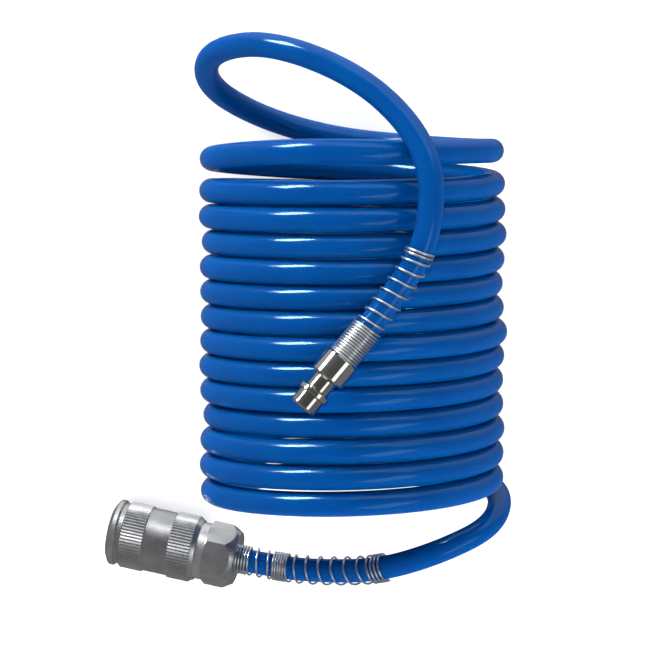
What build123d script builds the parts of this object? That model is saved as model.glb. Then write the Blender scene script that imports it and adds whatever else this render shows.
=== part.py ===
from build123d import *

import math
import os

# Coiled air hose, 5 m long, with a quick coupler on one end and its plug on the other.
# The coil lies on its side on a table, the coupler lies beside its last turn, and the
# first turn loops round so that the plug rests along the top of the coil.
# Frame: origin on the table under the middle of the coil, +Y along the coil's axis
# towards the loop, +X away from the coupler, +Z up.  All sizes are in millimetres.

# Hose
HOSE_OD = 9.0
HOSE_ID = 6.5
HOSE_R = HOSE_OD / 2

# Coil: close turns, side by side
TURN_R = 52.0
TURNS = 13
PITCH = 9.23
COIL_LENGTH = TURNS * PITCH
COIL_AXIS_Z = TURN_R + HOSE_R

# Quick coupler: distances run from its mouth towards the hose
COUPLER_MOUTH = (-92.0, -80.9, 12.75)
COUPLER_YAW = -10.8
COUPLER_RISE = 9.5
RIM_R = 12.9
RIM_LENGTH = 2.4
MOUTH_FRONT = -1.1
MOUTH_FRONT_R = 10.5
KNURL_R = 13.0
KNURL_DEPTH = 0.35
KNURL_TEETH = 66
SLEEVE_FRONT = 2.45
BAND_1 = (4.4, 13.7)
BAND_2 = (23.4, 32.7)
WAIST_R = 12.4
SLEEVE_REAR = 34.1
NECK_R = 11.1
RUNNING_GAP = 0.08
SPRING_LAND = 10.2
BODY_SHOULDER = 18.4
BODY_FRONT_R = 8.2
HEX_FLATS = 22.0
HEX_TURN = 1
HEX_FRONT = 37.3
HEX_REAR_R = 10.2
HEX_REAR_BEVEL = 4.0
COUPLER_END = 49.4
FIRST_RUN = 17.6

# Socket: shoulder pilot, collar bore, nose bore and valve chamber
PILOT_R = 6.65
PILOT_LENGTH = 4.2
COLLAR_BORE_R = 6.1
COLLAR_BORE_END = 11.0
NOSE_BORE_R = 5.1
SEAT_START = 18.06
CHAMBER_R = 8.0
THREAD_R = 8.8
THREAD_START = 31.0

# Locking balls: they follow the cone inside the sleeve
BALL_R = 2.0
BALL_COUNT = 4
BALL_AT = 6.8
BALL_CENTRE_R = 6.8
BALL_GAP = 0.05
CONE_SLOPE = 0.45
CONE_END = 3.6
CONE_FACE_R = 10.5

# Seals
SEAL_SECTION_R = 0.85
SEAL_CENTRE_R = 5.8
SEAL_AT = 12.6
VALVE_SEAL_R = 0.9
VALVE_SEAL_CENTRE_R = 5.6
VALVE_SEAL_AT = 19.9
GROOVE_HALF_WIDTH = 0.95
WASHER_BORE_R = 6.4
WASHER_R = 8.7
WASHER_THICKNESS = 0.8

# Valve poppet
SKIRT_R = NOSE_BORE_R - RUNNING_GAP
SKIRT_BORE_R = 3.8
SKIRT_FRONT = 13.8
HEAD_FRONT = 20.85
HEAD_REAR = 22.6
HEAD_R = 7.2
BOSS_R = 3.6
BOSS_REAR = 25.0
SLOT_WIDTH = 2.4
SLOT_LENGTH = 2.2

# Springs inside the coupler
SLEEVE_SPRING_WIRE_R = 0.5
SLEEVE_SPRING_R = 9.7
SLEEVE_SPRING_TURNS = 4.5
VALVE_SPRING_WIRE_R = 0.45
VALVE_SPRING_R = 5.4
VALVE_SPRING_TURNS = 5

# Barbed stems inside the hose
STEM_R = 3.15
BARB_R = 3.6
STEM_BORE_R = 2.2
BARB_PITCH = 3.6
BARB_COUNT = 3
STEM_LENGTH = 1.0 + BARB_COUNT * BARB_PITCH

# Plug: distances run from the tip of its nose towards the hose
PLUG_REAR = (-4.0, -1.55, 121.7)
PLUG_DIRECTION = (-0.639, -0.758, 0.125)
NOSE_R = 5.0
NOSE_LENGTH = 5.4
COLLAR_R = 6.0
COLLAR_END = 7.9
PLUG_NECK_R = 4.4
PLUG_NECK_END = 13.4
PLUG_BODY_R = 6.45
PLUG_LENGTH = 22.3
PLUG_BORE_R = 3.4

# Guard springs, as close sleeves over the hose with the springs' outside size
GUARD_OUTER_R = 6.1
GUARD_INNER_R = 4.8
COUPLER_GUARD_REACH = 0.85
PLUG_GUARD_REACH = 0.75

# Each run's share that its bend may use
BEND_SHARE = 0.45


def unit(x, y, z):
    """The direction (x, y, z) with length 1."""
    return Vector(x, y, z).normalized()


def turning_plane(start, axis):
    """Plane through a turned piece's axis: x is the radius, y the distance along the axis."""
    side = axis.cross(Vector(0, 0, 1)).normalized()
    return Plane(origin=start, x_dir=side, z_dir=side.cross(axis))


def cross_plane(start, axis, distance):
    """Plane square to the axis, this far along it."""
    side = axis.cross(Vector(0, 0, 1)).normalized()
    return Plane(origin=Vector(*start) + axis * distance, x_dir=side, z_dir=axis)


def outline(plane, points):
    """Closed outline of a turned piece, as (radius, distance) points."""
    with BuildSketch(plane) as shape:
        with BuildLine():
            Polyline(*points, close=True)
        make_face()
    return shape.sketch


def ring_section(plane, centre_r, distance, section_r):
    """Round section of a seal."""
    with BuildSketch(plane) as shape:
        with Locations((centre_r, distance)):
            Circle(section_r)
    return shape.sketch


def barbs(first):
    """Outline of a barbed stem's outside, from its root at this distance to its tip."""
    points = [(STEM_R, first), (STEM_R, first + 1.0)]
    for number in range(BARB_COUNT):
        rise = first + 1.0 + number * BARB_PITCH
        points += [(BARB_R, rise), (STEM_R, rise + BARB_PITCH)]
    return points


def bend_radii(route):
    """The radius of each bend of a route: as large as its two runs allow."""
    radii = []
    for before, corner, after in zip(route, route[1:], route[2:]):
        run_in = Vector(*corner) - Vector(*before)
        run_out = Vector(*after) - Vector(*corner)
        half_turn = math.radians(run_in.get_angle(run_out)) / 2
        shorter = min(run_in.length, run_out.length)
        radii.append(BEND_SHARE * shorter / math.tan(half_turn))
    return radii


def along(start, end, share):
    """The point this share of the way from start to end."""
    return tuple(a + (b - a) * share for a, b in zip(start, end))


yaw = math.radians(COUPLER_YAW)
rise = math.radians(COUPLER_RISE)
coupler_axis = unit(math.cos(rise) * math.cos(yaw), math.cos(rise) * math.sin(yaw), math.sin(rise))
coupler_plane = turning_plane(COUPLER_MOUTH, coupler_axis)
coupler_line = Axis(COUPLER_MOUTH, coupler_axis)
coupler_exit = Vector(*COUPLER_MOUTH) + coupler_axis * COUPLER_END

plug_out = unit(*PLUG_DIRECTION)
plug_tip = Vector(*PLUG_REAR) + plug_out * PLUG_LENGTH
plug_plane = turning_plane(plug_tip, -plug_out)
plug_line = Axis(plug_tip, -plug_out)

# The hose's route from the coupler to the coil
TAIL_ROUTE = [
    tuple(coupler_exit),
    tuple(coupler_exit + coupler_axis * FIRST_RUN),
    (-8.0, -93.5, 30.0),
    (12.0, -90.2, 44.0),
    (34.0, -81.5, 53.5),
    (54.0, -72.5, 47.5),
    (58.2, -62.5, 27.0),
    (45.0, -59.0, 6.5),
    (16.0, -60.0, 4.5),
    (-14.0, -59.3, 4.5),
]

# The hose's route from the coil to the plug: one loose turn, then the loop over the top
LOOP_ROUTE = [
    (18.0, 59.5, 4.5),
    (-21.5, 61.0, 4.5),
    (-52.0, 64.5, 35.0),
    (-52.0, 67.3, 78.0),
    (-21.5, 70.4, 108.5),
    (21.5, 69.7, 108.5),
    (52.0, 69.6, 78.0),
    (50.5, 68.3, 37.0),
    (27.0, 69.0, 11.0),
    (-6.5, 72.0, 3.0),
    (-35.5, 80.5, 9.5),
    (-55.3, 93.0, 34.5),
    (-53.0, 105.5, 66.5),
    (-30.5, 109.0, 92.0),
    (0.5, 97.3, 105.0),
    (20.4, 79.3, 111.5),
    (27.8, 60.8, 118.0),
    (25.1, 37.8, 120.0),
    (13.2, 18.85, 118.35),
    PLUG_REAR,
]

os.makedirs("parts", exist_ok=True)

# Hose, in three stretches: the coil's outer shape, and a tube to each fitting
with BuildPart() as hose_coil:
    with BuildSketch(Plane(origin=(0, -COIL_LENGTH / 2, COIL_AXIS_Z), z_dir=(0, 1, 0))):
        Circle(TURN_R + HOSE_R)
        Circle(TURN_R - HOSE_R, mode=Mode.SUBTRACT)
    extrude(amount=COIL_LENGTH)

with BuildPart() as hose_tail:
    with BuildLine() as tail_path:
        FilletPolyline(*TAIL_ROUTE, radius=bend_radii(TAIL_ROUTE))
    with BuildSketch(Plane(origin=tail_path.line @ 0, z_dir=tail_path.line % 0)):
        Circle(HOSE_R)
        Circle(HOSE_ID / 2, mode=Mode.SUBTRACT)
    sweep(path=tail_path.line)

with BuildPart() as hose_loop:
    with BuildLine() as loop_path:
        FilletPolyline(*LOOP_ROUTE, radius=bend_radii(LOOP_ROUTE))
    with BuildSketch(Plane(origin=loop_path.line @ 0, z_dir=loop_path.line % 0)):
        Circle(HOSE_R)
        Circle(HOSE_ID / 2, mode=Mode.SUBTRACT)
    sweep(path=loop_path.line)

# Guard springs
coupler_guard_route = TAIL_ROUTE[:3] + [along(TAIL_ROUTE[2], TAIL_ROUTE[3], COUPLER_GUARD_REACH)]
with BuildPart() as coupler_guard_spring:
    with BuildLine() as coupler_guard_path:
        FilletPolyline(*coupler_guard_route, radius=bend_radii(TAIL_ROUTE)[:2])
    with BuildSketch(Plane(origin=coupler_guard_path.line @ 0, z_dir=coupler_guard_path.line % 0)):
        Circle(GUARD_OUTER_R)
        Circle(GUARD_INNER_R, mode=Mode.SUBTRACT)
    sweep(path=coupler_guard_path.line)

plug_guard_route = LOOP_ROUTE[:-3:-1] + [along(LOOP_ROUTE[-2], LOOP_ROUTE[-3], PLUG_GUARD_REACH)]
with BuildPart() as plug_guard_spring:
    with BuildLine() as plug_guard_path:
        FilletPolyline(*plug_guard_route, radius=bend_radii(LOOP_ROUTE)[-1:])
    with BuildSketch(Plane(origin=plug_guard_path.line @ 0, z_dir=plug_guard_path.line % 0)):
        Circle(GUARD_OUTER_R)
        Circle(GUARD_INNER_R, mode=Mode.SUBTRACT)
    sweep(path=plug_guard_path.line)

# Coupler body: front tube for the balls and seal, wide rear barrel for the valve
with BuildPart() as coupler_body:
    body_outline = [
        (PILOT_R + 0.5, MOUTH_FRONT),
        (BODY_FRONT_R, MOUTH_FRONT),
        (BODY_FRONT_R, BODY_SHOULDER),
        (NECK_R, BODY_SHOULDER),
        (NECK_R, HEX_FRONT),
        (THREAD_R, HEX_FRONT),
        (THREAD_R, THREAD_START),
        (CHAMBER_R, THREAD_START),
        (CHAMBER_R, SEAT_START + CHAMBER_R - NOSE_BORE_R),
        (NOSE_BORE_R, SEAT_START),
        (NOSE_BORE_R, SEAL_AT + GROOVE_HALF_WIDTH),
        (SEAL_CENTRE_R + GROOVE_HALF_WIDTH, SEAL_AT + GROOVE_HALF_WIDTH),
        (SEAL_CENTRE_R + GROOVE_HALF_WIDTH, SEAL_AT - GROOVE_HALF_WIDTH),
        (NOSE_BORE_R, SEAL_AT - GROOVE_HALF_WIDTH),
        (NOSE_BORE_R, COLLAR_BORE_END),
        (COLLAR_BORE_R, COLLAR_BORE_END),
        (COLLAR_BORE_R, PILOT_LENGTH + 0.45),
        (PILOT_R, PILOT_LENGTH),
        (PILOT_R, MOUTH_FRONT + 0.5),
    ]
    revolve(outline(coupler_plane, body_outline), axis=coupler_line)
    ball_hole = [
        (0, 4.0),
        (BALL_R - 0.05, 4.0),
        (BALL_R - 0.05, COLLAR_BORE_R + 0.05),
        (BALL_R + 0.06, BALL_CENTRE_R - 0.05),
        (BALL_R + 0.06, BODY_FRONT_R + 0.4),
        (0, BODY_FRONT_R + 0.4),
    ]
    ball_plane = cross_plane(COUPLER_MOUTH, coupler_axis, BALL_AT)
    for number in range(BALL_COUNT):
        turn = math.radians(45 + number * 360 / BALL_COUNT)
        outward = ball_plane.x_dir * math.cos(turn) + ball_plane.y_dir * math.sin(turn)
        hole_plane = Plane(origin=ball_plane.origin, x_dir=coupler_axis, z_dir=coupler_axis.cross(outward))
        hole_line = Axis(ball_plane.origin, outward)
        revolve(outline(hole_plane, ball_hole), axis=hole_line, mode=Mode.SUBTRACT)

# Front rim: the bevelled ring that keeps the sleeve on the body
with BuildPart() as sleeve_retaining_ring:
    rim_outline = [
        (BODY_FRONT_R, MOUTH_FRONT),
        (MOUTH_FRONT_R, MOUTH_FRONT),
        (RIM_R - 0.4, 0.1),
        (RIM_R, 0.6),
        (RIM_R, RIM_LENGTH - 0.4),
        (RIM_R - 0.4, RIM_LENGTH),
        (BODY_FRONT_R, RIM_LENGTH),
    ]
    revolve(outline(coupler_plane, rim_outline), axis=coupler_line)

# Sleeve: straight knurls all along, then the plain stretches and the bore are turned off
with BuildPart() as coupler_sleeve:
    knurl = []
    for number in range(2 * KNURL_TEETH):
        angle = number * math.pi / KNURL_TEETH
        tooth_r = KNURL_R - KNURL_DEPTH * (number % 2)
        knurl.append((tooth_r * math.cos(angle), tooth_r * math.sin(angle)))
    with BuildSketch(cross_plane(COUPLER_MOUTH, coupler_axis, SLEEVE_FRONT)):
        with BuildLine():
            Polyline(*knurl, close=True)
        make_face()
    extrude(amount=SLEEVE_REAR - SLEEVE_FRONT)
    beyond = KNURL_R + 1
    turned_off = [
        [
            (12.0, SLEEVE_FRONT - 1),
            (12.0, BAND_1[0]),
            (KNURL_R - 0.5, BAND_1[0]),
            (beyond, BAND_1[0] + 1.5),
            (beyond, SLEEVE_FRONT - 1),
        ],
        [
            (beyond, BAND_1[1] - 1.5),
            (KNURL_R - 0.5, BAND_1[1]),
            (WAIST_R, BAND_1[1]),
            (WAIST_R, BAND_2[0]),
            (KNURL_R - 0.5, BAND_2[0]),
            (beyond, BAND_2[0] + 1.5),
        ],
        [
            (beyond, BAND_2[1] - 1.5),
            (KNURL_R - 0.5, BAND_2[1]),
            (NECK_R + 0.6, SLEEVE_REAR),
            (NECK_R + 0.6, SLEEVE_REAR + 1),
            (beyond, SLEEVE_REAR + 1),
        ],
    ]
    for cut in turned_off:
        revolve(outline(coupler_plane, cut), axis=coupler_line, mode=Mode.SUBTRACT)
    land_r = BODY_FRONT_R + RUNNING_GAP
    cone_reach = math.hypot(1, CONE_SLOPE) * (BALL_R + BALL_GAP)
    cone_r = BALL_CENTRE_R + cone_reach
    bore = [
        (0, SLEEVE_FRONT - 1),
        (CONE_FACE_R, SLEEVE_FRONT - 1),
        (CONE_FACE_R, BALL_AT - (CONE_FACE_R - cone_r) / CONE_SLOPE),
        (land_r, BALL_AT + (cone_r - land_r) / CONE_SLOPE),
        (land_r, SPRING_LAND),
        (NECK_R + RUNNING_GAP, SPRING_LAND),
        (NECK_R + RUNNING_GAP, SLEEVE_REAR + 1),
        (0, SLEEVE_REAR + 1),
    ]
    revolve(outline(coupler_plane, bore), axis=coupler_line, mode=Mode.SUBTRACT)

# Locking balls
for number in range(BALL_COUNT):
    turn = math.radians(45 + number * 360 / BALL_COUNT)
    outward = ball_plane.x_dir * math.cos(turn) + ball_plane.y_dir * math.sin(turn)
    with BuildPart() as locking_ball:
        with Locations(ball_plane.origin + outward * BALL_CENTRE_R):
            Sphere(BALL_R)
    name = f"locking_ball_{number + 1}"
    locking_ball.part.label = name
    export_step(locking_ball.part, f"parts/{name}.step")

# Seals in the coupler
with BuildPart() as socket_seal:
    section = ring_section(coupler_plane, SEAL_CENTRE_R, SEAL_AT, SEAL_SECTION_R)
    revolve(section, axis=coupler_line)

with BuildPart() as valve_seal:
    section = ring_section(coupler_plane, VALVE_SEAL_CENTRE_R, VALVE_SEAL_AT, VALVE_SEAL_R)
    revolve(section, axis=coupler_line)

with BuildPart() as adapter_seal:
    washer = [
        (WASHER_BORE_R, THREAD_START),
        (WASHER_R, THREAD_START),
        (WASHER_R, THREAD_START + WASHER_THICKNESS),
        (WASHER_BORE_R, THREAD_START + WASHER_THICKNESS),
    ]
    revolve(outline(coupler_plane, washer), axis=coupler_line)

# Valve poppet: slotted skirt, seal groove, head and spring boss
with BuildPart() as valve_poppet:
    groove_r = VALVE_SEAL_CENTRE_R - VALVE_SEAL_R - 0.02
    poppet_outline = [
        (SKIRT_BORE_R, SKIRT_FRONT),
        (SKIRT_R - 0.3, SKIRT_FRONT),
        (SKIRT_R, SKIRT_FRONT + 0.3),
        (SKIRT_R, VALVE_SEAL_AT - 1.0),
        (groove_r, VALVE_SEAL_AT - 1.0),
        (groove_r, HEAD_FRONT),
        (HEAD_R, HEAD_FRONT),
        (HEAD_R, HEAD_REAR),
        (BOSS_R, HEAD_REAR),
        (BOSS_R, BOSS_REAR),
        (0, BOSS_REAR),
        (0, HEAD_FRONT),
        (SKIRT_BORE_R, HEAD_FRONT - 1.5),
    ]
    revolve(outline(coupler_plane, poppet_outline), axis=coupler_line)
    with BuildSketch(cross_plane(COUPLER_MOUTH, coupler_axis, SKIRT_FRONT + 2.4)):
        Rectangle(SLOT_WIDTH, 3 * SKIRT_R)
        Rectangle(3 * SKIRT_R, SLOT_WIDTH)
    extrude(amount=SLOT_LENGTH, mode=Mode.SUBTRACT)


# Springs inside the coupler
def coil_spring(first, last, radius, wire_r, turns):
    """Helical wire between two distances along the coupler's axis."""
    base = cross_plane(COUPLER_MOUTH, coupler_axis, first + wire_r)
    height = last - first - 2 * wire_r
    with BuildLine() as wire:
        Helix(pitch=height / turns, height=height, radius=radius, center=base.origin, direction=coupler_axis)
    with BuildSketch(Plane(origin=wire.line @ 0, z_dir=wire.line % 0)) as section:
        Circle(wire_r)
    return sweep(section.sketch, path=wire.line, is_frenet=True, mode=Mode.PRIVATE)


with BuildPart() as sleeve_spring:
    add(
        coil_spring(
            SPRING_LAND + 0.05,
            BODY_SHOULDER - 0.05,
            SLEEVE_SPRING_R,
            SLEEVE_SPRING_WIRE_R,
            SLEEVE_SPRING_TURNS,
        )
    )

with BuildPart() as valve_spring:
    add(
        coil_spring(
            HEAD_REAR + 0.05,
            THREAD_START + 0.75,
            VALVE_SPRING_R,
            VALVE_SPRING_WIRE_R,
            VALVE_SPRING_TURNS,
        )
    )

# Rear adapter: threaded spigot, hexagon and barbed stem in one piece
with BuildPart() as rear_adapter:
    with BuildSketch(cross_plane(COUPLER_MOUTH, coupler_axis, HEX_FRONT)):
        RegularPolygon(radius=HEX_FLATS / 2, side_count=6, major_radius=False, rotation=HEX_TURN)
    extrude(amount=COUPLER_END - HEX_FRONT)
    corner_r = HEX_FLATS / 2 / math.cos(math.pi / 6)
    hex_envelope = [
        (0, HEX_FRONT),
        (HEX_FLATS / 2 + 0.1, HEX_FRONT),
        (corner_r, HEX_FRONT + 1.0),
        (corner_r, COUPLER_END - HEX_REAR_BEVEL),
        (HEX_REAR_R, COUPLER_END),
        (0, COUPLER_END),
    ]
    revolve(outline(coupler_plane, hex_envelope), axis=coupler_line, mode=Mode.INTERSECT)
    spigot = [
        (0, THREAD_START + WASHER_THICKNESS),
        (THREAD_R - 0.6, THREAD_START + WASHER_THICKNESS),
        (THREAD_R - 0.02, THREAD_START + WASHER_THICKNESS + 0.6),
        (THREAD_R - 0.02, HEX_FRONT),
        (0, HEX_FRONT),
    ]
    revolve(outline(coupler_plane, spigot), axis=coupler_line)
    stem = [(0, COUPLER_END)] + barbs(COUPLER_END) + [(0, COUPLER_END + STEM_LENGTH)]
    revolve(outline(coupler_plane, stem), axis=coupler_line)
    passage = [
        (0, THREAD_START),
        (WASHER_BORE_R, THREAD_START),
        (WASHER_BORE_R, THREAD_START + WASHER_THICKNESS),
        (STEM_BORE_R, THREAD_START + 5.0),
        (STEM_BORE_R, COUPLER_END + STEM_LENGTH + 1),
        (0, COUPLER_END + STEM_LENGTH + 1),
    ]
    revolve(outline(coupler_plane, passage), axis=coupler_line, mode=Mode.SUBTRACT)

# Plug: nose, locking collar, neck, body and barbed stem in one turned piece
with BuildPart() as plug_body:
    plug_outline = [
        (PLUG_BORE_R, 0),
        (NOSE_R - 0.8, 0),
        (NOSE_R, 0.8),
        (NOSE_R, NOSE_LENGTH),
        (COLLAR_R - 0.2, NOSE_LENGTH + 0.35),
        (COLLAR_R, NOSE_LENGTH + 0.6),
        (COLLAR_R, COLLAR_END - 0.4),
        (COLLAR_R - 0.4, COLLAR_END),
        (PLUG_NECK_R, COLLAR_END + 0.4),
        (PLUG_NECK_R, PLUG_NECK_END - 0.6),
        (PLUG_NECK_R + 0.6, PLUG_NECK_END),
        (PLUG_BODY_R - 0.5, PLUG_NECK_END),
        (PLUG_BODY_R, PLUG_NECK_END + 0.5),
        (PLUG_BODY_R, PLUG_LENGTH - 0.4),
        (PLUG_BODY_R - 0.4, PLUG_LENGTH),
    ]
    plug_outline += barbs(PLUG_LENGTH)
    plug_outline += [(STEM_BORE_R, PLUG_LENGTH + STEM_LENGTH), (STEM_BORE_R, PLUG_NECK_END)]
    plug_outline += [(PLUG_BORE_R, PLUG_NECK_END - 2.0)]
    revolve(outline(plug_plane, plug_outline), axis=plug_line)

# Names and files
pieces = {
    "hose_coil": hose_coil,
    "hose_tail": hose_tail,
    "hose_loop": hose_loop,
    "coupler_guard_spring": coupler_guard_spring,
    "plug_guard_spring": plug_guard_spring,
    "coupler_body": coupler_body,
    "sleeve_retaining_ring": sleeve_retaining_ring,
    "coupler_sleeve": coupler_sleeve,
    "socket_seal": socket_seal,
    "valve_seal": valve_seal,
    "adapter_seal": adapter_seal,
    "valve_poppet": valve_poppet,
    "sleeve_spring": sleeve_spring,
    "valve_spring": valve_spring,
    "rear_adapter": rear_adapter,
    "plug_body": plug_body,
}
for name, piece in pieces.items():
    piece.part.label = name
    export_step(piece.part, f"parts/{name}.step")

# The hose's bends and lengths
hose_section = math.pi * (HOSE_R**2 - (HOSE_ID / 2) ** 2)
coil_run = TURNS * math.hypot(2 * math.pi * TURN_R, PITCH)
print("tail bends", [round(radius, 1) for radius in bend_radii(TAIL_ROUTE)])
print("loop bends", [round(radius, 1) for radius in bend_radii(LOOP_ROUTE)])
for name, piece, path in (("tail", hose_tail, tail_path), ("loop", hose_loop, loop_path)):
    run = path.wire().length
    print(name, "length", round(run, 1), "volume", round(piece.part.volume, 1))
    print(name, "section times length", round(hose_section * run, 1))
print("whole hose", round(tail_path.wire().length + coil_run + loop_path.wire().length, 1))
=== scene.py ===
import math

import bmesh
import bpy
from mathutils import Matrix, Vector
from mathutils.noise import noise


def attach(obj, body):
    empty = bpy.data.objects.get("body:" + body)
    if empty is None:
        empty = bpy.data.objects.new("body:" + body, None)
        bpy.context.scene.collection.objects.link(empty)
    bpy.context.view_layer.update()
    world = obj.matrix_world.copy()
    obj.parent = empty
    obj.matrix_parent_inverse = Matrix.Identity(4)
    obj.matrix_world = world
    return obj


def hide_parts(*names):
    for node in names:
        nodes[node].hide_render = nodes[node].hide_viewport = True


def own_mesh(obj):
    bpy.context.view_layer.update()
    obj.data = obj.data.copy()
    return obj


# Coiled air hose with a quick coupler and its plug. One smooth hose line runs from the
# coupler, through the turns of the coil and the loop, to the plug, and everything that
# follows the hose is swept along that line. All sizes are in metres, in the CAD's frame.

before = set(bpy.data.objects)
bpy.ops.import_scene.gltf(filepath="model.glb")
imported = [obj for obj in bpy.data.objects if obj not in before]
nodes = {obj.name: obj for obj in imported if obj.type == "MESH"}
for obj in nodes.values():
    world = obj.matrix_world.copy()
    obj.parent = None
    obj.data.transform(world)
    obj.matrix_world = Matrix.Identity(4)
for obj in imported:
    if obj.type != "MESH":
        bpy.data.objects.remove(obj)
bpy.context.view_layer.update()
scene = bpy.context.scene

# Hose
HOSE_D = 0.009
TURN_R = 0.052
AXIS_Z = 0.0565
TURNS = 13
PITCH = 0.00918
OPENING = 0.0007
OPENING_FADE_TURNS = 1.5
LOOSENESS = 0.0007
LOOSE_RISE_TURNS = 0.7
LOOSE_FADE_TURNS = 5
LOOSE_LAST_TURN = 9.5
LEAN = 0.0001
UPRIGHT_TURN = 2.5
UNEVEN_R = 0.0007
COIL_START_Y = -0.0596
POINTS_PER_TURN = 16
RING_STEP = 0.0018
RING_SIDES = 28

# Coupler
COUPLER_MOUTH = Vector((-0.092, -0.0809, 0.01275))
COUPLER_YAW = math.radians(-10.8)
COUPLER_RISE = math.radians(9.5)
COUPLER_END = 0.0494
FIRST_RUN = 0.0176

# Springs inside the coupler: distances run from its mouth along its axis
SLEEVE_SPRING_START = 0.01025
SLEEVE_SPRING_END = 0.01835
SLEEVE_SPRING_R = 0.0097
SLEEVE_SPRING_WIRE_R = 0.0005
SLEEVE_SPRING_TURNS = 4.5
VALVE_SPRING_START = 0.02265
VALVE_SPRING_END = 0.03175
VALVE_SPRING_R = 0.0054
VALVE_SPRING_WIRE_R = 0.00045
VALVE_SPRING_TURNS = 5
INNER_SPRING_POINTS = 32

# Plug
PLUG_REAR = Vector((-0.004, -0.00155, 0.1217))
PLUG_AXIS = Vector((-0.639, -0.758, 0.125)).normalized()

# Guard springs
WIRE_R = 0.00044
TIGHT_R = 0.0053
OPEN_R = 0.00499
PLUG_TIGHT_TURNS = 12
PLUG_TAPER_TURNS = 1.2
SPRING_POINTS = 30
SPRING_STEP = 0.0005
WIRE_SIDES = 10

coupler_axis = Vector(
    (
        math.cos(COUPLER_RISE) * math.cos(COUPLER_YAW),
        math.cos(COUPLER_RISE) * math.sin(COUPLER_YAW),
        math.sin(COUPLER_RISE),
    )
)
coupler_exit = COUPLER_MOUTH + coupler_axis * COUPLER_END

# The hose's route from the coupler to the coil
TAIL_ROUTE = [
    tuple(coupler_exit),
    tuple(coupler_exit + coupler_axis * FIRST_RUN),
    (-0.008, -0.0935, 0.030),
    (0.012, -0.0902, 0.044),
    (0.034, -0.0815, 0.0535),
    (0.054, -0.0725, 0.0475),
    (0.0582, -0.0625, 0.027),
    (0.045, -0.059, 0.0065),
    (0.016, -0.060, 0.0045),
]

# The hose's route from the coil to the plug: one loose turn, then the loop over the top
LOOP_ROUTE = [
    (-0.0215, 0.061, 0.0045),
    (-0.052, 0.0645, 0.035),
    (-0.052, 0.0673, 0.078),
    (-0.0215, 0.0704, 0.1085),
    (0.0215, 0.0697, 0.1085),
    (0.052, 0.0696, 0.078),
    (0.0505, 0.0683, 0.037),
    (0.027, 0.069, 0.011),
    (-0.0065, 0.072, 0.003),
    (-0.0355, 0.0805, 0.0095),
    (-0.0553, 0.093, 0.0345),
    (-0.053, 0.1055, 0.0665),
    (-0.0305, 0.109, 0.092),
    (0.0005, 0.0973, 0.105),
    (0.0204, 0.0793, 0.1115),
    (0.0278, 0.0608, 0.118),
    (0.0251, 0.0378, 0.120),
    (0.0132, 0.01885, 0.11835),
    tuple(PLUG_REAR),
]


# ---------------------------------------------------------------- lines


def coil_route():
    """Control points of the close turns: the end ones open, the early ones sit loose, all lean."""
    points = []
    corner = 1 / math.cos(math.pi / POINTS_PER_TURN)
    for step in range(TURNS * POINTS_PER_TURN):
        turn = (step + 0.5) / POINTS_PER_TURN
        angle = 2 * math.pi * turn
        opening = OPENING * math.exp((turn - TURNS) / OPENING_FADE_TURNS)
        fade = min(1, max(0, (LOOSE_LAST_TURN - turn) / LOOSE_FADE_TURNS))
        loose = LOOSENESS * (1 - math.exp(-turn / LOOSE_RISE_TURNS)) * fade
        lean = LEAN * (turn - UPRIGHT_TURN) * math.sin(angle)
        y = COIL_START_Y + PITCH * turn + opening + loose + lean
        inside = min(1, turn / 2, (TURNS - turn) / 2)
        uneven = math.sin(1.19 * turn + 0.4) + 0.6 * math.sin(2.73 * turn + 1.9)
        radius = (TURN_R + UNEVEN_R * inside * uneven * (0.5 - 0.5 * math.cos(angle))) * corner
        shift = 0.7 * UNEVEN_R * inside * math.sin(1.7 * turn + 2.6)
        points.append((shift - radius * math.sin(angle), y, AXIS_Z - radius * math.cos(angle)))
    return points


def spline_object(name, points):
    """One smooth open NURBS line through these control points."""
    curve = bpy.data.curves.new(name, "CURVE")
    curve.dimensions = "3D"
    curve.resolution_u = 12
    spline = curve.splines.new("NURBS")
    spline.points.add(len(points) - 1)
    for control, place in zip(spline.points, points):
        control.co = (*place, 1)
    spline.order_u = 3
    spline.use_endpoint_u = True
    line = bpy.data.objects.new(name, curve)
    scene.collection.objects.link(line)
    return line


def line_points(line):
    """The points of a line without thickness, in order."""
    bpy.context.view_layer.update()
    drawn = bpy.data.meshes.new_from_object(line)
    points = [vertex.co.copy() for vertex in drawn.vertices]
    bpy.data.meshes.remove(drawn)
    return points


def spaced(points, step):
    """The same line in even steps, each about as long as step."""
    lengths = [0.0]
    for before, after in zip(points, points[1:]):
        lengths.append(lengths[-1] + (after - before).length)
    count = max(2, round(lengths[-1] / step))
    result = []
    index = 0
    for number in range(count + 1):
        wanted = lengths[-1] * number / count
        while index < len(lengths) - 2 and lengths[index + 1] < wanted:
            index += 1
        span = lengths[index + 1] - lengths[index]
        share = (wanted - lengths[index]) / span if span else 0
        result.append(points[index].lerp(points[index + 1], share))
    return result


def directions(points):
    """The line's direction at each point."""
    result = []
    for index in range(len(points)):
        before = points[max(index - 1, 0)]
        after = points[min(index + 1, len(points) - 1)]
        result.append((after - before).normalized())
    return result


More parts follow.
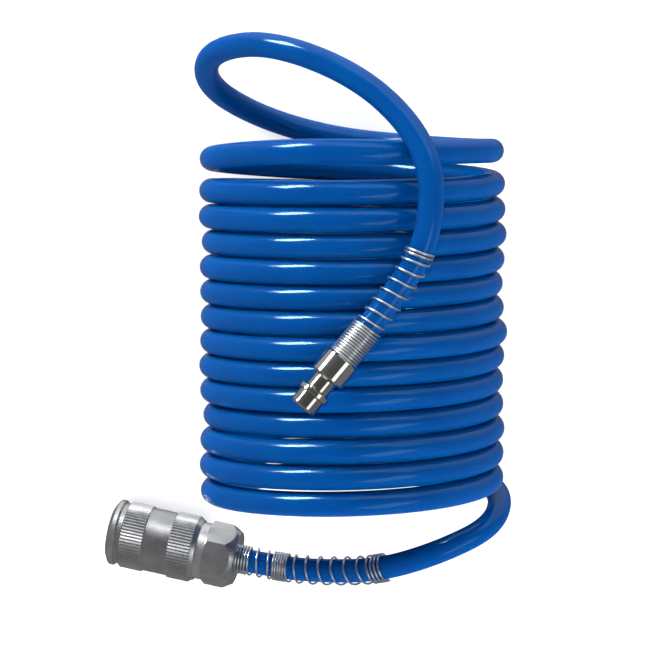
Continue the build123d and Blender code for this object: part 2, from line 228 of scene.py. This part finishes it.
def swept(name, points, sides, radius_at):
    """Closed tube along points. radius_at(index) gives its radius at each of them."""
    heading = directions(points)
    side = heading[0].orthogonal().normalized()
    mesh = bmesh.new()
    uv_layer = mesh.loops.layers.uv.new("along")
    rings = []
    travelled = [0.0]
    for index, point in enumerate(points):
        if index:
            turn = heading[index - 1].rotation_difference(heading[index])
            side = turn @ side
            travelled.append(travelled[-1] + (point - points[index - 1]).length)
        side = (side - heading[index] * side.dot(heading[index])).normalized()
        across = heading[index].cross(side)
        ring = []
        for number in range(sides):
            angle = 2 * math.pi * number / sides
            outward = side * math.cos(angle) + across * math.sin(angle)
            ring.append(mesh.verts.new(point + outward * radius_at(index)))
        rings.append(ring)
    for index in range(len(rings) - 1):
        for number in range(sides):
            following = (number + 1) % sides
            here, ahead = rings[index], rings[index + 1]
            face = mesh.faces.new((here[number], here[following], ahead[following], ahead[number]))
            face.smooth = True
            corners = ((index, number), (index, number + 1), (index + 1, number + 1), (index + 1, number))
            for loop, (ring_at, side_at) in zip(face.loops, corners):
                loop[uv_layer].uv = (travelled[ring_at] / HOSE_D, side_at / sides)
    mesh.faces.new(list(reversed(rings[0])))
    mesh.faces.new(rings[-1])
    data = bpy.data.meshes.new(name)
    mesh.to_mesh(data)
    mesh.free()
    piece = bpy.data.objects.new(name, data)
    scene.collection.objects.link(piece)
    return piece


# ---------------------------------------------------------------- hose

route = spline_object("hose_route", TAIL_ROUTE + coil_route() + LOOP_ROUTE)
fine_line = line_points(route)
bpy.data.objects.remove(route)
hose_line = spaced(fine_line, RING_STEP)


def hose_radius(index):
    """The hose is a little uneven along its length, as extruded tube is."""
    return HOSE_D / 2 * (1 + 0.006 * noise(Vector((index * RING_STEP * 14, 3.1, 0.7))))


hose = swept("air_hose", hose_line, RING_SIDES, hose_radius)
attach(hose, "hose_assembly")
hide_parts("hose_coil", "hose_tail", "hose_loop")


# ---------------------------------------------------------------- guard springs


def turn_places(first, pitches):
    """How far along the hose each turn's near side is, from (number of turns, pitch) pairs."""
    places = [first]
    for count, pitch in pitches:
        for _ in range(count):
            places.append(places[-1] + pitch)
    return places


def guard_spring(name, line, places, radius_at):
    """Round wire wound round the hose, from a quarter turn before its first place."""
    spaced_line = spaced(line, SPRING_STEP)
    heading = directions(spaced_line)
    wire = []
    for step in range(int((len(places) - 0.5) * SPRING_POINTS) + 1):
        turn = step / SPRING_POINTS - 0.25
        index = min(max(int(turn), 0), len(places) - 2)
        reach = places[index] + (places[index + 1] - places[index]) * (turn - index)
        at = max(reach, places[0]) / SPRING_STEP
        low = int(at)
        centre = spaced_line[low].lerp(spaced_line[low + 1], at - low)
        forward = heading[low].lerp(heading[low + 1], at - low).normalized()
        near = (Vector((0, 0, 1)) - forward * forward.z).normalized()
        across = forward.cross(near)
        angle = 2 * math.pi * turn
        radius = radius_at(turn)
        wire.append(centre + near * (radius * math.cos(angle)) + across * (radius * math.sin(angle)))
    spring = swept(name, wire, WIRE_SIDES, lambda index: WIRE_R)
    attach(spring, "hose_assembly")
    return spring


coupler_places = turn_places(
    0.0002,
    [
        (4, 0.00118),
        (1, 0.0037),
        (1, 0.0046),
        (1, 0.002),
        (5, 0.00102),
        (1, 0.0038),
        (1, 0.0053),
        (1, 0.0057),
        (1, 0.006),
        (2, 0.0062),
        (1, 0.0041),
        (3, 0.0016),
    ],
)
coupler_guard = guard_spring("coupler_guard_wire", fine_line, coupler_places, lambda turn: TIGHT_R)
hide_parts("coupler_guard_spring")

plug_places = turn_places(
    0.00055,
    [
        (PLUG_TIGHT_TURNS, 0.001065),
        (1, 0.0025),
        (2, 0.00428),
        (1, 0.0046),
        (2, 0.0047),
        (1, 0.0042),
        (1, 0.0024),
        (1, 0.0012),
    ],
)


def plug_spring_radius(turn):
    """The tight turns sit on the plug's ferrule end; the open ones hug the hose."""
    share = min(max((turn - PLUG_TIGHT_TURNS) / PLUG_TAPER_TURNS, 0), 1)
    return TIGHT_R + (OPEN_R - TIGHT_R) * share


plug_guard = guard_spring("plug_guard_wire", list(reversed(fine_line)), plug_places, plug_spring_radius)
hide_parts("plug_guard_spring")


# ---------------------------------------------------------------- springs inside the coupler


def inner_spring(name, node, start, end, radius, wire_r, turns):
    """Compression spring inside the coupler, wound round its axis between two distances from its mouth."""
    side = coupler_axis.orthogonal().normalized()
    across = coupler_axis.cross(side)
    count = round(turns * INNER_SPRING_POINTS)
    wire = []
    for step in range(count + 1):
        angle = 2 * math.pi * step / INNER_SPRING_POINTS
        reach = start + wire_r + (end - start - 2 * wire_r) * step / count
        centre = COUPLER_MOUTH + coupler_axis * reach
        wire.append(centre + side * (radius * math.cos(angle)) + across * (radius * math.sin(angle)))
    spring = swept(name, wire, WIRE_SIDES, lambda index: wire_r)
    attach(spring, "hose_assembly")
    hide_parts(node)
    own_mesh(spring)
    return spring


inner_springs = [
    inner_spring(
        "sleeve_spring_wire",
        "sleeve_spring",
        SLEEVE_SPRING_START,
        SLEEVE_SPRING_END,
        SLEEVE_SPRING_R,
        SLEEVE_SPRING_WIRE_R,
        SLEEVE_SPRING_TURNS,
    ),
    inner_spring(
        "valve_spring_wire",
        "valve_spring",
        VALVE_SPRING_START,
        VALVE_SPRING_END,
        VALVE_SPRING_R,
        VALVE_SPRING_WIRE_R,
        VALVE_SPRING_TURNS,
    ),
]


# ---------------------------------------------------------------- materials


class Graph:
    """A material's node graph, with short calls for the nodes that the finishes share."""

    def __init__(self, name):
        self.material = bpy.data.materials.new(name)
        self.material.use_nodes = True
        self.tree = self.material.node_tree
        self.shader = self.tree.nodes["Principled BSDF"]

    def add(self, kind, inputs=None, **settings):
        node = self.tree.nodes.new(kind)
        for key, value in settings.items():
            setattr(node, key, value)
        for key, value in (inputs or {}).items():
            self.feed(node.inputs[key], value)
        return node

    def feed(self, socket, value):
        if isinstance(value, bpy.types.NodeSocket):
            self.tree.links.new(value, socket)
        else:
            socket.default_value = value

    def shade(self, name, value):
        self.feed(self.shader.inputs[name], value)

    def place(self):
        return self.add("ShaderNodeTexCoord").outputs["Object"]

    def stretched(self, vector, scale, rotation=(0, 0, 0)):
        node = self.add("ShaderNodeMapping", {"Vector": vector})
        node.inputs["Scale"].default_value = scale
        node.inputs["Rotation"].default_value = rotation
        return node.outputs["Vector"]

    def grain(self, vector, scale, detail=4.0, rough=0.5):
        settings = {"Vector": vector, "Scale": scale, "Detail": detail, "Roughness": rough}
        return self.add("ShaderNodeTexNoise", settings).outputs["Fac"]

    def between(self, value, low, high, start=0.3, end=0.7):
        node = self.add(
            "ShaderNodeMapRange",
            {"Value": value, "From Min": start, "From Max": end, "To Min": low, "To Max": high},
        )
        return node.outputs["Result"]

    def ramp(self, value, stops):
        node = self.add("ShaderNodeValToRGB", {"Fac": value})
        while len(node.color_ramp.elements) < len(stops):
            node.color_ramp.elements.new(0.5)
        for element, (position, colour) in zip(node.color_ramp.elements, stops):
            element.position = position
            element.color = (*colour, 1)
        return node.outputs["Color"]

    def bump(self, height, strength, distance, normal=None):
        node = self.add("ShaderNodeBump", {"Height": height, "Strength": strength, "Distance": distance})
        if normal is not None:
            self.feed(node.inputs["Normal"], normal)
        return node.outputs["Normal"]


def hose_material():
    """Glossy, slightly milky polyurethane tube, with faint draw lines along it and small scuffs."""
    graph = Graph("glossy_blue_tube")
    uv = graph.add("ShaderNodeUVMap", uv_map="along").outputs["UV"]
    place = graph.place()
    lines = graph.grain(graph.stretched(uv, (0.35, 46.0, 1.0)), 1.0, 3.0)
    cloud = graph.grain(place, 45.0, 3.0)
    scuffs = graph.grain(graph.stretched(uv, (2.0, 18.0, 1.0)), 1.6, 6.0, 0.65)
    colour = graph.ramp(cloud, [(0.3, (0.0, 0.040, 0.172)), (0.7, (0.0, 0.047, 0.192))])
    graph.shade("Base Color", colour)
    graph.shade("Roughness", graph.between(scuffs, 0.09, 0.18))
    graph.shade("IOR", 1.5)
    facing = graph.add("ShaderNodeLayerWeight", {"Blend": 0.5}).outputs["Facing"]
    graph.shade("Specular IOR Level", graph.between(facing, 0.375, 0.03, 0.3, 0.65))
    graph.shade("Specular Tint", (0.45, 0.8, 1.0, 1.0))
    graph.shade("Subsurface Weight", 0.8)
    graph.shade("Subsurface Radius", (0.02, 0.4, 1.0))
    graph.shade("Subsurface Scale", 0.010)
    soft = graph.bump(lines, 0.06, 0.0004)
    graph.shade("Normal", graph.bump(scuffs, 0.03, 0.0003, soft))
    return graph.material


def along_axis(graph, start, axis):
    """Object coordinates turned so that z runs along an axis, for turned and drawn metal."""
    quaternion = axis.rotation_difference(Vector((0, 0, 1)))
    turned = quaternion.to_euler("XYZ")
    centred = graph.add("ShaderNodeVectorMath", {0: graph.place(), 1: tuple(start)}, operation="SUBTRACT")
    return graph.stretched(centred.outputs["Vector"], (1, 1, 1), tuple(turned))


def edge_light(graph, low, high):
    """Where an edge stands proud, from the surface's own shape."""
    point = graph.add("ShaderNodeNewGeometry").outputs["Pointiness"]
    return graph.between(point, 0.0, 1.0, low, high)


def turned_metal(name, start, axis, dark, light, rough, ring_scale, spread=0.06, metallic=1.0):
    """Plated metal turned on a lathe: fine rings round the axis, soft cloudy plating, worn edges."""
    graph = Graph(name)
    local = along_axis(graph, start, axis)
    rings = graph.grain(graph.stretched(local, (20.0, 20.0, ring_scale)), 1.0, 4.0)
    cloud = graph.grain(local, 160.0, 5.0, 0.6)
    speck = graph.grain(local, 1500.0, 3.0, 0.7)
    mixed = graph.add("ShaderNodeMix", data_type="RGBA", blend_type="MIX")
    graph.feed(mixed.inputs["Factor"], edge_light(graph, 0.52, 0.62))
    graph.feed(mixed.inputs["A"], graph.ramp(cloud, [(0.3, dark), (0.7, light)]))
    graph.feed(mixed.inputs["B"], (*[min(1, c * 1.25 + 0.03) for c in light], 1))
    graph.shade("Base Color", mixed.outputs["Result"])
    graph.shade("Metallic", metallic)
    blotch = graph.between(cloud, rough - spread, rough + spread)
    graph.shade("Roughness", blotch)
    ring_bump = graph.bump(rings, 0.10, 0.00015)
    graph.shade("Normal", graph.bump(speck, 0.05, 0.00006, ring_bump))
    return graph.material


def spring_material():
    """Drawn spring wire: bright, with fine streaks along the wire."""
    graph = Graph("bright_spring_wire")
    uv = graph.add("ShaderNodeUVMap", uv_map="along").outputs["UV"]
    streaks = graph.grain(graph.stretched(uv, (1.2, 9.0, 1.0)), 1.0, 4.0)
    tint = graph.grain(graph.place(), 900.0, 3.0)
    graph.shade("Base Color", graph.ramp(tint, [(0.3, (0.74, 0.77, 0.80)), (0.7, (0.84, 0.86, 0.88))]))
    graph.shade("Metallic", 1.0)
    graph.shade("Roughness", graph.between(streaks, 0.22, 0.38))
    graph.shade("Normal", graph.bump(streaks, 0.1, 0.00006))
    return graph.material


def plain_spring_material():
    """The same wire for the springs inside the coupler."""
    graph = Graph("inner_spring_wire")
    tint = graph.grain(graph.place(), 1200.0, 3.0)
    graph.shade("Base Color", graph.ramp(tint, [(0.3, (0.45, 0.45, 0.44)), (0.7, (0.6, 0.6, 0.58))]))
    graph.shade("Metallic", 1.0)
    graph.shade("Roughness", graph.between(tint, 0.25, 0.4))
    graph.shade("Normal", graph.bump(tint, 0.05, 0.00005))
    return graph.material


def rubber_material():
    """Black seal rubber with a faint bloom."""
    graph = Graph("black_seal_rubber")
    bloom = graph.grain(graph.place(), 500.0, 4.0)
    tints = [(0.35, (0.012, 0.012, 0.013)), (0.75, (0.035, 0.035, 0.036))]
    graph.shade("Base Color", graph.ramp(bloom, tints))
    graph.shade("Roughness", graph.between(bloom, 0.5, 0.7))
    graph.shade("Normal", graph.bump(bloom, 0.1, 0.0001))
    return graph.material


def ball_material():
    """Ground and polished steel balls with a few faint scratches."""
    graph = Graph("polished_ball_steel")
    scratch = graph.grain(graph.stretched(graph.place(), (4000.0, 600.0, 600.0)), 1.0, 4.0)
    graph.shade("Base Color", graph.ramp(scratch, [(0.3, (0.62, 0.63, 0.64)), (0.7, (0.72, 0.73, 0.74))]))
    graph.shade("Metallic", 1.0)
    graph.shade("Roughness", graph.between(scratch, 0.08, 0.16))
    graph.shade("Normal", graph.bump(scratch, 0.03, 0.00003))
    return graph.material


hose.data.materials.append(hose_material())
wire_finish = spring_material()
coupler_guard.data.materials.append(wire_finish)
plug_guard.data.materials.append(wire_finish)


def finish_node(name, material):
    """Gives a CAD node its finish."""
    data = nodes[name].data
    data.materials.clear()
    data.materials.append(material)


coupler_finish = turned_metal(
    "satin_coupler_plate",
    COUPLER_MOUTH,
    coupler_axis,
    (0.30, 0.305, 0.315),
    (0.40, 0.405, 0.415),
    0.3,
    2600.0,
    metallic=0.93,
)
plug_finish = turned_metal(
    "polished_plug_plate", PLUG_REAR, PLUG_AXIS, (0.46, 0.455, 0.43), (0.56, 0.555, 0.53), 0.09, 3200.0, 0.03
)
brass_finish = turned_metal(
    "turned_brass", COUPLER_MOUTH, coupler_axis, (0.52, 0.36, 0.13), (0.66, 0.48, 0.2), 0.28, 3000.0
)
for name in ("coupler_body", "sleeve_retaining_ring", "coupler_sleeve", "rear_adapter"):
    finish_node(name, coupler_finish)
finish_node("plug_body", plug_finish)
finish_node("valve_poppet", brass_finish)
inner_wire = plain_spring_material()
for name in ("sleeve_spring", "valve_spring"):
    finish_node(name, inner_wire)
for spring in inner_springs:
    spring.data.materials.append(inner_wire)
seal_finish = rubber_material()
for name in ("socket_seal", "valve_seal", "adapter_seal"):
    finish_node(name, seal_finish)
ball_finish = ball_material()
for number in range(1, 5):
    finish_node(f"locking_ball_{number}", ball_finish)


# ---------------------------------------------------------------- floor, light and camera


def studio_floor():
    """A plain pale table top."""
    bpy.ops.mesh.primitive_plane_add(size=8, location=(0, 0, 0))
    floor = bpy.context.object
    floor.name = "floor"
    graph = Graph("pale_table")
    mottle = graph.grain(graph.place(), 6.0, 3.0)
    graph.shade("Base Color", graph.ramp(mottle, [(0.3, (0.91, 0.91, 0.91)), (0.7, (0.93, 0.93, 0.93))]))
    graph.shade("Roughness", 0.6)
    floor.data.materials.append(graph.material)
    floor.visible_glossy = False


LAMPS_AIM = Vector((0, 0, 0.06))


def softbox(name, place, size, watts, mirrored=True):
    """A soft rectangular lamp. A fill lamp isn't mirrored in glossy surfaces."""
    lamp = bpy.data.lights.new(name, "AREA")
    lamp.shape = "RECTANGLE"
    lamp.size, lamp.size_y = size
    lamp.energy = watts
    holder = bpy.data.objects.new(name, lamp)
    scene.collection.objects.link(holder)
    holder.location = place
    holder.rotation_euler = (LAMPS_AIM - Vector(place)).to_track_quat("-Z", "Y").to_euler()
    holder.visible_glossy = mirrored


def camera_at(place, target, lens):
    """The scene's camera, with the frame's y axis upwards in its picture."""
    data = bpy.data.cameras.new("camera")
    data.lens = lens
    data.sensor_width = 36
    holder = bpy.data.objects.new("camera", data)
    scene.collection.objects.link(holder)
    backward = (Vector(place) - Vector(target)).normalized()
    right = Vector((0, 1, 0)).cross(backward).normalized()
    turned = Matrix((right, backward.cross(right), backward)).transposed()
    holder.matrix_world = Matrix.Translation(place) @ turned.to_4x4()
    scene.camera = holder


BRIGHT_SIDE = (0.15, 0.95, -0.25)


def studio_air(side, overhead, bright):
    """Plain surroundings, bright beyond the far side of the table and dimmest overhead."""
    world = bpy.data.worlds.new("studio")
    scene.world = world
    world.use_nodes = True
    tree = world.node_tree
    heading = tree.nodes.new("ShaderNodeTexCoord")
    nearness = tree.nodes.new("ShaderNodeVectorMath")
    nearness.operation = "DOT_PRODUCT"
    nearness.inputs[1].default_value = BRIGHT_SIDE
    spread = tree.nodes.new("ShaderNodeMapRange")
    spread.inputs["From Min"].default_value = 0.45
    spread.inputs["From Max"].default_value = 0.9
    spread.inputs["To Max"].default_value = bright
    height = tree.nodes.new("ShaderNodeSeparateXYZ")
    shade = tree.nodes.new("ShaderNodeMapRange")
    shade.inputs["From Min"].default_value = 0.4
    shade.inputs["From Max"].default_value = 1.0
    shade.inputs["To Min"].default_value = side
    shade.inputs["To Max"].default_value = overhead
    tree.links.new(heading.outputs["Generated"], height.inputs[0])
    tree.links.new(height.outputs["Z"], shade.inputs["Value"])
    tree.links.new(heading.outputs["Generated"], nearness.inputs[0])
    tree.links.new(nearness.outputs["Value"], spread.inputs["Value"])
    tree.links.new(shade.outputs["Result"], spread.inputs["To Min"])
    tree.links.new(spread.outputs["Result"], tree.nodes["Background"].inputs["Strength"])
    tree.nodes["Background"].inputs["Color"].default_value = (1, 1, 1, 1)


studio_floor()
studio_air(0.2, 0.09, 1.2)
softbox("key_light", (-0.84, 1.23, 0.48), (0.6, 0.42), 38)
softbox("far_light", (0.45, 1.19, 0.86), (1.5, 0.6), 3)
softbox("right_light", (0.52, -0.46, 1.02), (1.0, 0.45), 2.6)
softbox("overhead_fill", (0.2, -0.1, 1.7), (1.6, 1.6), 28, False)
softbox("near_fill", (0.9, -1.2, 0.75), (1.2, 0.8), 26, False)
softbox("left_fill", (-0.6, -1.3, 0.8), (1.2, 0.8), 17, False)

scene.view_settings.view_transform = "Standard"

camera_at((-0.01015, 0.0971, 1.0605), (-0.01015, 0.0042, 0.0565), 150.2)
